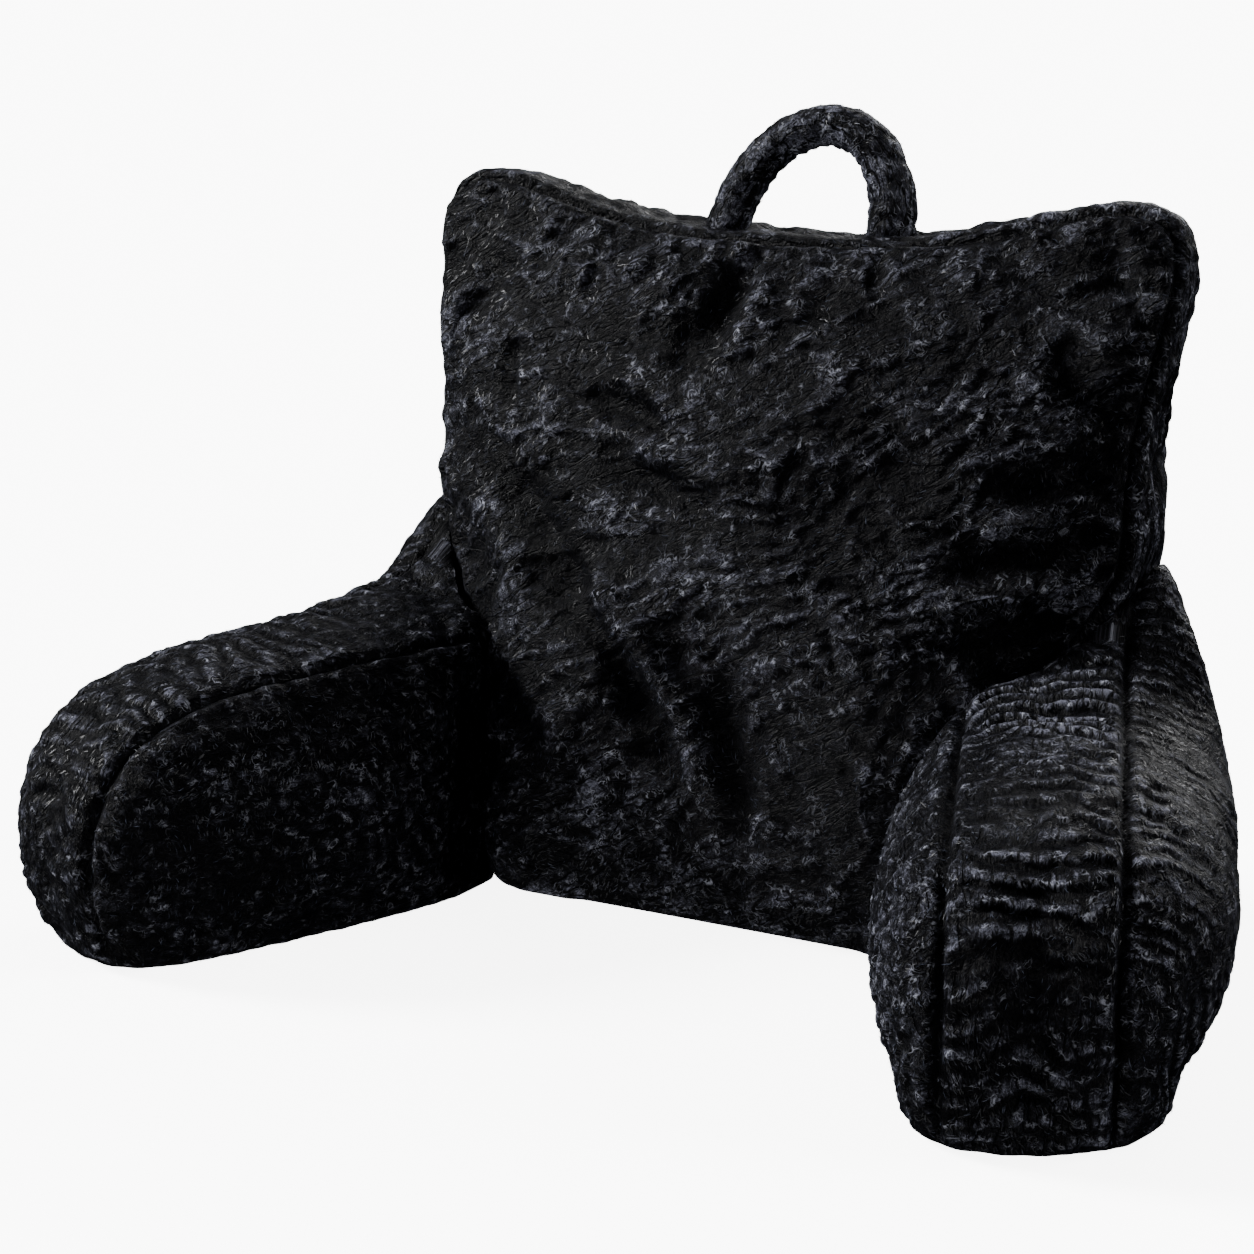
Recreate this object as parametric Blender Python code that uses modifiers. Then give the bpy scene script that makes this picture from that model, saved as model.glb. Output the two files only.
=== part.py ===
"""Reading pillow with arms: a filled back cushion, two filled arms and a stuffed carry handle.

The back cushion is a front panel, a gusset and a rear panel round one filling. Each arm is an inner panel, a
band and an outer panel round one filling, and its rear end closes round the side of the back. The handle is a
stuffed tube sewn to the gusset. Left and right are as seen from the front; +Y points to the rear. The tables
measure from the seat line, where the back and the arms meet on the floor, and SEAT_Y carries that line to its
place in the footprint, so the origin is on the floor in the middle of the whole pillow.
"""

import math

import bmesh
import bpy
import numpy as np

# Sizes are in metres.
SEAT_Y = 0.0415  # from the middle of the footprint back to the seat line
TOUCH_GAP = 0.0003  # between two pieces that are sewn together
SEAM_DRAW = 0.003  # how far the thread pulls a seam below the cloth beside it

FRONT_CROWN = 0.050  # rise of the front panel over its seam
REAR_CROWN = 0.042
GUSSET_CROWN = 0.009
PANEL_MIDDLE_Z = 0.225  # height of the middle of the front and rear panels
PANEL_SLACK = (0.45, 0.45)  # share of the crown that is lost on the way to the sides, and to the base and top

ARM_SPREAD = math.radians(22)  # each arm turns out this far from straight ahead
WRAP_SPREAD = math.radians(4)  # the rear end of the arm, beside the back, turns out less
WRAP_LENGTH = 0.10  # length of the bend between the two
SEAT_HALF_WIDTH = 0.175  # from the middle to where an arm's inner seam starts
BAND_WIDTH = 0.097
BAND_CROWN = 0.009
INNER_CROWN = 0.047  # rise of an arm's side panels over their seams
OUTER_CROWN = 0.072
ARM_SLACK = (0.15, 0.42)
CREASE_DRAW = 0.07  # from the seat line to where the inner panel has its full height
INNER_MIDDLE = (0.130, 0.085)  # (along the arm, height) of the middle of the inner panel
OUTER_MIDDLE = (0.085, 0.112)

HANDLE_RADIUS = 0.0138
SOLE = -0.012  # the loops run this far under the floor, and the floor cuts them flat

# The back cushion's front and rear seams, from the middle of the base up one side to the middle of the top.
BACK_COLUMNS = ("front_x", "front_y", "front_z", "rear_x", "rear_y", "rear_z")
BACK_ROWS = (
    (0.000, 0.012, SOLE, 0.000, 0.160, SOLE),
    (0.090, 0.009, SOLE, 0.110, 0.160, SOLE),
    (0.166, 0.001, SOLE, 0.196, 0.156, SOLE),
    (0.177, 0.001, 0.040, 0.224, 0.154, 0.040),
    (0.179, 0.008, 0.110, 0.232, 0.151, 0.120),
    (0.212, 0.036, 0.185, 0.240, 0.148, 0.200),
    (0.250, 0.060, 0.248, 0.244, 0.146, 0.262),
    (0.250, 0.070, 0.310, 0.242, 0.143, 0.315),
    (0.259, 0.082, 0.375, 0.250, 0.139, 0.372),
    (0.268, 0.093, 0.433, 0.258, 0.136, 0.430),
    (0.256, 0.099, 0.464, 0.247, 0.140, 0.457),
    (0.217, 0.100, 0.469, 0.210, 0.146, 0.461),
    (0.150, 0.095, 0.451, 0.148, 0.152, 0.445),
    (0.075, 0.091, 0.441, 0.075, 0.155, 0.436),
    (0.000, 0.089, 0.438, 0.000, 0.156, 0.433),
)

# An arm's inner and outer seams as (along, height), from the rear foot up, forward over the top and down the
# nose. Along is measured from the seat line.
ARM_COLUMNS = ("inner_along", "inner_z", "outer_along", "outer_z")
ARM_ROWS = (
    (-0.030, SOLE, -0.130, SOLE),
    (-0.040, 0.070, -0.142, 0.080),
    (-0.040, 0.140, -0.138, 0.180),
    (-0.036, 0.174, -0.124, 0.262),
    (-0.018, 0.177, -0.075, 0.252),
    (0.013, 0.175, -0.024, 0.205),
    (0.070, 0.173, 0.058, 0.187),
    (0.155, 0.171, 0.150, 0.177),
    (0.228, 0.161, 0.224, 0.163),
    (0.279, 0.132, 0.274, 0.134),
    (0.301, 0.080, 0.296, 0.082),
    (0.294, 0.024, 0.288, 0.026),
    (0.265, SOLE, 0.258, SOLE),
    (0.150, SOLE, 0.145, SOLE),
    (0.030, SOLE, 0.020, SOLE),
)

# The handle's middle line from foot to foot, and its thickness there next to HANDLE_RADIUS.
HANDLE_COLUMNS = ("x", "y", "z", "thickness")
HANDLE_ROWS = (
    (-0.060, 0.121, 0.424, 1.05),
    (-0.057, 0.122, 0.446, 1.02),
    (-0.042, 0.126, 0.477, 1.00),
    (-0.018, 0.131, 0.501, 0.97),
    (0.014, 0.134, 0.510, 0.96),
    (0.044, 0.131, 0.498, 1.04),
    (0.060, 0.125, 0.468, 1.12),
    (0.061, 0.122, 0.446, 1.15),
    (0.060, 0.121, 0.424, 1.15),
)

PLUSH = (0.012, 0.013, 0.016)


def column(rows, names, *wanted):
    """The wanted columns of a table, as an array with a row for each row."""
    table = np.array(rows)
    return table[:, [names.index(name) for name in wanted]]


def smooth_line(points, steps, closed=False):
    """A Catmull-Rom curve through the points, with steps places from each point to the next."""
    if closed:
        led = np.vstack([points[-1:], points, points[:2]])
    else:
        led = np.vstack([2 * points[:1] - points[1:2], points, 2 * points[-1:] - points[-2:-1]])
    u = np.linspace(0.0, 1.0, steps, endpoint=False)[:, None]
    runs = []
    for a, b, c, d in zip(led, led[1:], led[2:], led[3:]):
        bend = (2 * a - 5 * b + 4 * c - d) * u**2 + (3 * b - a - 3 * c + d) * u**3
        runs.append(b + 0.5 * ((c - a) * u + bend))
    line = np.vstack(runs)
    return line if closed else np.vstack([line, points[-1:]])


def outward(loop):
    """Unit vectors that point out of a flat closed loop, across its tangents."""
    along = np.roll(loop, -1, axis=0) - np.roll(loop, 1, axis=0)
    across = np.stack([along[:, 1], -along[:, 0]], axis=1)
    across /= np.linalg.norm(across, axis=1)[:, None]
    away = np.sum(across * (loop - loop.mean(axis=0)))
    return across * np.sign(away)


def shrunk(seam, middle, share):
    """A panel's seam drawn in to a share of its size, its corners rounding off on the way to the middle."""
    reach = seam - middle
    ends = np.where(reach > 0.0, reach.max(axis=0), -reach.min(axis=0))
    corner = (1.0 + np.sum((reach / ends) ** 2, axis=1) ** 4)[:, None] ** 0.125
    kept = share**2
    return middle + reach * share * (kept + (1.0 - kept) / corner)


def stuffed(loop, middle, share, slack):
    """Height of a stuffed panel, from 1 at its middle to 0 at its seam, at the places of a loop.

    share is the loop's size next to the seam's. The height falls steeply close to the seam. Towards the sides
    it also falls by slack, given along and up, as a square of the distance from the middle.
    """
    reach = np.abs(loop - middle).max(axis=0) / share
    fall = 1.0 - np.array(slack) * ((loop - middle) / reach) ** 2
    return (1.0 - share**5) ** 0.6 * fall[:, 0] * fall[:, 1]


def cage_object(name, rings, collection):
    """A closed cage through the rings, each end filled by one face, smoothed once."""
    mesh = bpy.data.meshes.new(name)
    count = len(rings[0])
    shape = bmesh.new()
    rows = [[shape.verts.new(point) for point in ring] for ring in rings]
    for lower, upper in zip(rows, rows[1:]):
        for i in range(count):
            j = (i + 1) % count
            shape.faces.new((lower[i], lower[j], upper[j], upper[i]))
    shape.faces.new(rows[0][::-1])
    shape.faces.new(rows[-1])
    bmesh.ops.recalc_face_normals(shape, faces=shape.faces)
    for face in shape.faces:
        face.smooth = True
    shape.to_mesh(mesh)
    shape.free()
    item = bpy.data.objects.new(name, mesh)
    collection.objects.link(item)
    soften = item.modifiers.new("filled", "SUBSURF")
    soften.levels = soften.render_levels = 1
    split = item.modifiers.new("facets", "TRIANGULATE")
    split.quad_method = "FIXED"
    return item


def back_rings():
    """Loops of the back cushion, from the middle of its front panel to the middle of its rear panel."""
    front = smooth_line(column(BACK_ROWS, BACK_COLUMNS, "front_x", "front_y", "front_z"), 2)
    rear = smooth_line(column(BACK_ROWS, BACK_COLUMNS, "rear_x", "rear_y", "rear_z"), 2)
    mirror = np.array((-1.0, 1.0, 1.0))
    front = np.vstack([front, front[-2:0:-1] * mirror])
    rear = np.vstack([rear, rear[-2:0:-1] * mirror])
    aside = outward(front[:, [0, 2]])
    aside = np.stack([aside[:, 0], np.zeros(len(aside)), aside[:, 1]], axis=1)

    def panel(seam, crown, shares):
        """Loops of a panel, each drawn in from its seam and raised by its stuffing."""
        middle = np.array((0.0, PANEL_MIDDLE_Z))
        middle_y = (seam[0, 1] + seam[len(seam) // 2, 1]) / 2
        loops = []
        for share in shares:
            flat = shrunk(seam[:, [0, 2]], middle, share)
            rise = crown * stuffed(flat, middle, share, PANEL_SLACK)
            y = middle_y + (seam[:, 1] - middle_y) * share + rise
            loops.append(np.stack([flat[:, 0], y, flat[:, 1]], axis=1))
        return loops

    rings = panel(front, -FRONT_CROWN, (0.22, 0.48, 0.73, 0.92))
    rings.append(front - aside * SEAM_DRAW)
    rings += [front + (rear - front) * share + aside * GUSSET_CROWN for share in (0.25, 0.75)]
    rings.append(rear - aside * SEAM_DRAW)
    rings += panel(rear, REAR_CROWN, (0.93, 0.75, 0.45))
    return [ring + np.array((0.0, SEAT_Y, 0.0)) for ring in rings]


def arm_plan(along, across):
    """Places in plan of points along and across the right arm.

    The arm runs straight from the seat line to its nose. Behind the seat line its heading turns evenly from
    ARM_SPREAD to WRAP_SPREAD over WRAP_LENGTH, and the places across it lie square to that heading.
    """
    fine = np.linspace(-0.25, 0.40, 651)
    turn = np.clip(-fine / WRAP_LENGTH, 0.0, 1.0)
    heading = ARM_SPREAD + (WRAP_SPREAD - ARM_SPREAD) * turn
    step = fine[1] - fine[0]
    x = np.cumsum(np.sin(heading)) * step
    y = -np.cumsum(np.cos(heading)) * step
    x = x - np.interp(0.0, fine, x) + SEAT_HALF_WIDTH
    y = y - np.interp(0.0, fine, y) + SEAT_Y
    here = np.interp(along, fine, heading)
    x = np.interp(along, fine, x) + across * np.cos(here)
    y = np.interp(along, fine, y) + across * np.sin(here)
    return x, y


def arm_rings(side):
    """Loops of an arm, from the middle of its inner panel over the band to the middle of its outer panel."""
    inner = smooth_line(column(ARM_ROWS, ARM_COLUMNS, "inner_along", "inner_z"), 2, closed=True)
    outer = smooth_line(column(ARM_ROWS, ARM_COLUMNS, "outer_along", "outer_z"), 2, closed=True)
    out = outward(outer)

    def panel(seam, middle, level, crown, shares):
        """Loops of a side panel, each with its places across the arm."""
        middle = np.array(middle)
        flat = [shrunk(seam, middle, share) for share in shares]
        rises = [crown * stuffed(loop, middle, share, ARM_SLACK) for loop, share in zip(flat, shares)]
        return [(loop, level + rise) for loop, rise in zip(flat, rises)]

    loops = panel(inner, INNER_MIDDLE, 0.0, -INNER_CROWN, (0.35, 0.62, 0.84, 0.95))
    loops = [(loop, across * np.clip(loop[:, 0] / CREASE_DRAW, 0.0, 1.0) ** 0.6) for loop, across in loops]
    loops.append((inner - out * SEAM_DRAW, 0.0))
    for share in (0.25, 0.75):
        loops.append((inner + (outer - inner) * share + out * BAND_CROWN, BAND_WIDTH * share))
    loops.append((outer - out * SEAM_DRAW, BAND_WIDTH))
    loops += panel(outer, OUTER_MIDDLE, BAND_WIDTH, OUTER_CROWN, (0.96, 0.86, 0.64, 0.35))
    rings = []
    for loop, across in loops:
        x, y = arm_plan(loop[:, 0], across)
        rings.append(np.stack([side * x, y, loop[:, 1]], axis=1))
    return rings


def cut(item, cutter, name):
    """Takes the cutter's space out of the item."""
    away = item.modifiers.new(name, "BOOLEAN")
    away.operation = "DIFFERENCE"
    away.solver = "EXACT"
    away.object = cutter


def make_cutter(item, collection):
    """Marks an object as a cutter, which isn't part of the pillow."""
    item.hide_render = True
    item.display_type = "WIRE"
    for owner in item.users_collection:
        owner.objects.unlink(item)
    collection.objects.link(item)


def plush(name, roughness):
    """Black pile fabric."""
    material = bpy.data.materials.new(name)
    material.use_nodes = True
    shader = material.node_tree.nodes["Principled BSDF"]
    shader.inputs["Base Color"].default_value = (*PLUSH, 1.0)
    shader.inputs["Roughness"].default_value = roughness
    shader.inputs["Metallic"].default_value = 0.0
    return material


def handle(collection):
    """The stuffed tube of the handle, a curve turned into a closed mesh."""
    line = smooth_line(column(HANDLE_ROWS, HANDLE_COLUMNS, *HANDLE_COLUMNS), 3)
    line[:, 1] += SEAT_Y
    curve = bpy.data.curves.new("carry_handle", "CURVE")
    curve.dimensions = "3D"
    curve.bevel_depth = HANDLE_RADIUS
    curve.bevel_resolution = 3
    curve.use_fill_caps = True
    spline = curve.splines.new("POLY")
    spline.points.add(len(line) - 1)
    for point, (x, y, z, thickness) in zip(spline.points, line):
        point.co = (x, y, z, 1.0)
        point.radius = thickness
    tube = bpy.data.objects.new("handle_route", curve)
    collection.objects.link(tube)
    bpy.context.view_layer.update()
    mesh = bpy.data.meshes.new_from_object(tube.evaluated_get(bpy.context.evaluated_depsgraph_get()))
    shape = bmesh.new()
    shape.from_mesh(mesh)
    bmesh.ops.remove_doubles(shape, verts=shape.verts, dist=0.00001)
    for face in shape.faces:
        face.smooth = True
    shape.to_mesh(mesh)
    shape.free()
    item = bpy.data.objects.new("carry_handle", mesh)
    item.matrix_world = tube.matrix_world
    collection.objects.link(item)
    bpy.data.objects.remove(tube)
    bpy.data.curves.remove(curve)
    return item


def main():
    """Builds the four pieces of the pillow and their cutters in an empty scene."""
    for item in list(bpy.data.objects):
        bpy.data.objects.remove(item)
    scene = bpy.context.scene.collection
    pillow = bpy.data.collections.new("reading_pillow")
    cutters = bpy.data.collections.new("cutters")
    scene.children.link(pillow)
    scene.children.link(cutters)

    bpy.ops.mesh.primitive_cube_add(size=1.0, location=(0.0, 0.0, -0.10))
    floor = bpy.context.active_object
    floor.name = "floor_cut"
    floor.scale = (1.4, 1.4, 0.20)
    bpy.ops.object.transform_apply(location=False, rotation=False, scale=True)
    make_cutter(floor, cutters)

    back = cage_object("back_cushion", back_rings(), pillow)
    cut(back, floor, "flat_base")

    relief = cage_object("back_relief", back_rings(), cutters)
    grow = relief.modifiers.new("touch_gap", "DISPLACE")
    grow.strength = TOUCH_GAP
    grow.mid_level = 0.0
    make_cutter(relief, cutters)

    pieces = [back]
    for name, side in (("arm_left", -1.0), ("arm_right", 1.0)):
        arm = cage_object(name, arm_rings(side), pillow)
        cut(arm, floor, "flat_base")
        cut(arm, relief, "sewn_to_back")
        pieces.append(arm)

    grip = handle(pillow)
    cut(grip, relief, "sewn_to_gusset")
    pieces.append(grip)

    for item, roughness in zip(pieces, (0.85, 0.85, 0.85, 0.9)):
        item.data.materials.append(plush(item.name + "_plush", roughness))


main()
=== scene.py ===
"""Looks of a reading pillow with arms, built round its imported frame.

Three filled pieces and a stuffed handle, all in black crushed plush. Each filled piece starts as its solid,
is blown up as cloth with its seams held, and then gets its seams, folds, ripples and matted tufts. Loose pile
stands on it as one joined mesh for each piece. Sizes are in metres: +X right, +Y to the rear, +Z up.
"""

import math

import bmesh
import bpy
import numpy as np
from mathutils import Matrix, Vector


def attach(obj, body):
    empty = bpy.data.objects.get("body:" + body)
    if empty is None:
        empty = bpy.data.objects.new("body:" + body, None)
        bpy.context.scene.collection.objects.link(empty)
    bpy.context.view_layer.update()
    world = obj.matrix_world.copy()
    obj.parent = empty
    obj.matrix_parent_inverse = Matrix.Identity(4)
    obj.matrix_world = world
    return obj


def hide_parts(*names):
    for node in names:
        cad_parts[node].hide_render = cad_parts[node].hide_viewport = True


bl_info = {
    "name": "Reading Pillow Looks",
    "version": (1, 0, 0),
    "blender": (4, 5, 0),
    "location": "View3D > Sidebar > Pillow",
    "description": "Plush, seams, folds and pile for a reading pillow with arms",
    "category": "Object",
}

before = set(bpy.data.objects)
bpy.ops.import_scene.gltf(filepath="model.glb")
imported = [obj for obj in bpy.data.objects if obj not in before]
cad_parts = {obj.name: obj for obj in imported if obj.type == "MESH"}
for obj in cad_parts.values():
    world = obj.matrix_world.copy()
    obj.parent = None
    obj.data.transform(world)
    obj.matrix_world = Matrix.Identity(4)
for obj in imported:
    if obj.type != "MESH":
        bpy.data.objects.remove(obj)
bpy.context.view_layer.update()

# Seams of the pillow, in the frame of the solids. Y and along are measured from the seat line, SEAT_Y behind
# the origin, and each seam runs on to SOLE below the floor, where the flat base cuts it off.
SEAT_Y = 0.0415
SOLE = -0.012

# Points of a cover that the filling can't move: this near to a seam, or this low.
HELD_BESIDE = 0.0075
HELD_BELOW = 0.006
# Frames of the simulation, and its cloth: a cover cut 3.5% too large for its filling, with little bend in it.
FRAMES = 20
CLOTH = {
    "use_pressure": True,
    "uniform_pressure_force": 4.0,
    "vertex_group_mass": "held",
    "shrink_min": -0.035,
    "quality": 5,
    "tension_stiffness": 12.0,
    "compression_stiffness": 12.0,
    "shear_stiffness": 6.0,
    "bending_stiffness": 0.6,
}

# Tufts and ripples fade out between these distances from a seam.
CLEAR_OF_SEAM = (0.002, 0.012)
# Cells to the metre of the noise for pale patches, for low swells and for bending the tufts.
PATCHES = np.array((11.0, 17.0, 14.0))
SWELLS = 14.0
WARP = 38.0

# The back's front and rear seams, from the middle of the base round the right side to the middle of the top.
BACK_SEAMS = (
    # front: x, y, z, rear: x, y, z
    (0.000, 0.012, SOLE, 0.000, 0.160, SOLE),
    (0.090, 0.009, SOLE, 0.110, 0.160, SOLE),
    (0.166, 0.001, SOLE, 0.196, 0.156, SOLE),
    (0.177, 0.001, 0.040, 0.224, 0.154, 0.040),
    (0.179, 0.008, 0.110, 0.232, 0.151, 0.120),
    (0.212, 0.036, 0.185, 0.240, 0.148, 0.200),
    (0.250, 0.060, 0.248, 0.244, 0.146, 0.262),
    (0.250, 0.070, 0.310, 0.242, 0.143, 0.315),
    (0.259, 0.082, 0.375, 0.250, 0.139, 0.372),
    (0.268, 0.093, 0.433, 0.258, 0.136, 0.430),
    (0.256, 0.099, 0.464, 0.247, 0.140, 0.457),
    (0.217, 0.100, 0.469, 0.210, 0.146, 0.461),
    (0.150, 0.095, 0.451, 0.148, 0.152, 0.445),
    (0.075, 0.091, 0.441, 0.075, 0.155, 0.436),
    (0.000, 0.089, 0.438, 0.000, 0.156, 0.433),
)

# An arm's inner and outer seams, from the rear foot up, forward over the top and down the nose.
ARM_SEAMS = (
    # inner: along, z, outer: along, z
    (-0.030, SOLE, -0.130, SOLE),
    (-0.040, 0.070, -0.142, 0.080),
    (-0.040, 0.140, -0.138, 0.180),
    (-0.036, 0.174, -0.124, 0.262),
    (-0.018, 0.177, -0.075, 0.252),
    (0.013, 0.175, -0.024, 0.205),
    (0.070, 0.173, 0.058, 0.187),
    (0.155, 0.171, 0.150, 0.177),
    (0.228, 0.161, 0.224, 0.163),
    (0.279, 0.132, 0.274, 0.134),
    (0.301, 0.080, 0.296, 0.082),
    (0.294, 0.024, 0.288, 0.026),
    (0.265, SOLE, 0.258, SOLE),
    (0.150, SOLE, 0.145, SOLE),
    (0.030, SOLE, 0.020, SOLE),
)
# Width of the band between them. In plan the inner seam runs from ARM_START straight forward at ARM_HEADING, and
# behind that it turns to WRAP_HEADING over WRAP_LENGTH.
BAND_WIDTH = 0.097
ARM_HEADING = math.radians(22)
WRAP_HEADING = math.radians(4)
WRAP_LENGTH = 0.10
ARM_START = (0.175, SEAT_Y)

# Middle line of the handle from foot to foot, and its thickness there next to the handle's radius.
HANDLE_LINE = (
    # x, y, z, thickness
    (-0.060, 0.121, 0.424, 1.05),
    (-0.057, 0.122, 0.446, 1.02),
    (-0.042, 0.126, 0.477, 1.00),
    (-0.018, 0.131, 0.501, 0.97),
    (0.014, 0.134, 0.510, 0.96),
    (0.044, 0.131, 0.498, 1.04),
    (0.060, 0.125, 0.468, 1.12),
    (0.061, 0.122, 0.446, 1.15),
    (0.060, 0.121, 0.424, 1.15),
)

# Folds of the front panel as (half width, height, points in x and z). A trough has a height below zero.
FRONT_FOLDS = (
    # puckers that fan down from the top seam
    (0.0075, 0.0055, ((-0.004, 0.440), (-0.048, 0.418), (-0.096, 0.390))),
    (0.0070, 0.0042, ((-0.048, 0.446), (-0.085, 0.426), (-0.126, 0.397))),
    (0.0070, 0.0036, ((-0.085, 0.448), (-0.114, 0.428), (-0.152, 0.398))),
    (0.0075, 0.0040, ((-0.122, 0.452), (-0.143, 0.425), (-0.174, 0.388))),
    (0.0070, 0.0034, ((-0.162, 0.458), (-0.176, 0.430), (-0.196, 0.392))),
    (0.0065, 0.0030, ((0.018, 0.440), (0.026, 0.418), (0.028, 0.392))),
    (0.0070, 0.0032, ((0.066, 0.444), (0.083, 0.426), (0.112, 0.408))),
    (0.0075, 0.0030, ((0.118, 0.450), (0.136, 0.430), (0.172, 0.414))),
    (0.0070, 0.0032, ((0.166, 0.458), (0.182, 0.438), (0.212, 0.420))),
    # the pocket under the fan and the ridge beside it
    (0.0120, -0.0085, ((-0.016, 0.426), (-0.028, 0.398), (-0.054, 0.360))),
    (0.0090, 0.0048, ((0.004, 0.424), (-0.006, 0.396), (-0.010, 0.366))),
    (0.0060, -0.0048, ((-0.182, 0.372), (-0.184, 0.346), (-0.178, 0.320))),
    # two slanting creases, each under a soft ridge
    (0.0075, -0.0070, ((-0.118, 0.338), (-0.072, 0.329), (-0.034, 0.310))),
    (0.0110, 0.0040, ((-0.110, 0.354), (-0.066, 0.345), (-0.020, 0.328))),
    (0.0080, -0.0072, ((-0.102, 0.302), (-0.048, 0.287), (0.004, 0.272))),
    (0.0120, 0.0044, ((-0.096, 0.318), (-0.040, 0.304), (0.020, 0.290))),
    # the long pull from the left side down to the middle of the base, and the troughs beside it
    (0.0100, 0.0090, ((-0.134, 0.250), (-0.088, 0.219), (-0.047, 0.180), (-0.014, 0.127), (0.023, 0.074))),
    (0.0120, -0.0095, ((-0.118, 0.218), (-0.074, 0.190), (-0.038, 0.146), (-0.008, 0.096))),
    (0.0130, -0.0085, ((-0.190, 0.296), (-0.139, 0.253), (-0.086, 0.206))),
    (0.0100, 0.0050, ((-0.204, 0.262), (-0.166, 0.226), (-0.132, 0.176))),
    (0.0180, -0.0060, ((-0.124, 0.236), (-0.120, 0.222), (-0.112, 0.205))),
    (0.0090, 0.0042, ((0.018, 0.150), (0.036, 0.112), (0.052, 0.066))),
    (0.0110, -0.0075, ((0.004, 0.176), (0.020, 0.132), (0.038, 0.086))),
    # pulls from the right side, where the arm is sewn on
    (0.0090, -0.0046, ((0.246, 0.318), (0.216, 0.304), (0.172, 0.298))),
    (0.0090, 0.0040, ((0.246, 0.300), (0.208, 0.284), (0.158, 0.276))),
    (0.0090, -0.0044, ((0.244, 0.280), (0.204, 0.262), (0.150, 0.254))),
    (0.0100, 0.0042, ((0.240, 0.262), (0.200, 0.240), (0.146, 0.230))),
    (0.0100, -0.0044, ((0.226, 0.228), (0.190, 0.212), (0.146, 0.206))),
    # creases low on the left
    (0.0100, -0.0045, ((-0.172, 0.150), (-0.140, 0.128), (-0.120, 0.090))),
    (0.0120, 0.0040, ((-0.160, 0.120), (-0.110, 0.096), (-0.060, 0.082))),
)


def linear(code):
    """A colour given as an sRGB hex code, as linear red, green, blue and alpha."""
    parts = np.array([int(code[i : i + 2], 16) for i in (1, 3, 5)]) / 255.0
    parts = np.where(parts <= 0.04045, parts / 12.92, ((parts + 0.055) / 1.055) ** 2.4)
    return (*(float(part) for part in parts), 1.0)


def smooth_line(points, steps, closed=False):
    """A Catmull-Rom curve through the points, with steps places from each point to the next."""
    points = np.array(points, dtype=float)
    if closed:
        led = np.vstack([points[-1:], points, points[:2]])
    else:
        led = np.vstack([2 * points[:1] - points[1:2], points, 2 * points[-1:] - points[-2:-1]])
    u = np.linspace(0.0, 1.0, steps, endpoint=False)[:, None]
    runs = []
    for a, b, c, d in zip(led, led[1:], led[2:], led[3:]):
        bend = (2 * a - 5 * b + 4 * c - d) * u**2 + (3 * b - a - 3 * c + d) * u**3
        runs.append(b + 0.5 * ((c - a) * u + bend))
    line = np.vstack(runs)
    return np.vstack([line, line[:1]]) if closed else np.vstack([line, points[-1:]])


def line_field(points, line):
    """Where each point stands by a polyline: the offset from its nearest place there, the way and the length.

    Each stretch of the line is tried in turn for all points at once, and the nearest place is kept.
    """
    best = np.full(len(points), np.inf)
    offset = np.zeros_like(points)
    way = np.zeros_like(points)
    length = np.zeros(len(points))
    run = 0.0
    for a, b in zip(line, line[1:]):
        step = b - a
        size = float(np.linalg.norm(step))
        if size < 1e-9:
            continue
        share = np.clip((points - a) @ step / size**2, 0.0, 1.0)
        off = points - a - share[:, None] * step
        square = np.einsum("ij,ij->i", off, off)
        nearer = square < best
        best[nearer] = square[nearer]
        offset[nearer] = off[nearer]
        way[nearer] = step / size
        length[nearer] = run + share[nearer] * size
        run += size
    return offset, way, length


def beside(offset, normals):
    """Distance along the cloth from a seam: the offset without up to 9 mm of its part along the normal."""
    deepest = 0.009
    high = np.einsum("ij,ij->i", offset, normals)
    flat = np.linalg.norm(offset - high[:, None] * normals, axis=1)
    return np.hypot(flat, np.maximum(np.abs(high) - deepest, 0.0))


def hashed(i, j, k, seed):
    """A number from 0 to 1 for each place of a lattice of whole numbers, mixed from its bits."""
    mixed = i * 374761393 + j * 668265263 + k * 2147483647 + seed * 1274126177
    mixed = (mixed ^ (mixed >> 13)) * 1274126177
    mixed = mixed ^ (mixed >> 16)
    return (mixed & 0xFFFFFF) / float(0xFFFFFF)


def value_noise(points, seed):
    """Smooth noise from -1 to 1: the hashed corners of each unit cube, blended by 3t^2 - 2t^3."""
    floor = np.floor(points)
    cell = floor.astype(np.int64)
    t = points - floor
    t = t * t * (3.0 - 2.0 * t)
    total = np.zeros(len(points))
    for corner in range(8):
        step = np.array((corner & 1, corner >> 1 & 1, corner >> 2 & 1))
        weight = np.prod(np.where(step == 1, t, 1.0 - t), axis=1)
        total += weight * hashed(*(cell + step).T, seed)
    return total * 2.0 - 1.0


def rough_noise(points, seed, octaves=3):
    """Value noise added to itself, each time at twice the pitch and half the height."""
    total = np.zeros(len(points))
    for octave in range(octaves):
        total += value_noise(points * 2.0**octave + 17.3 * octave, seed + octave) / 2.0**octave
    return total


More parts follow.
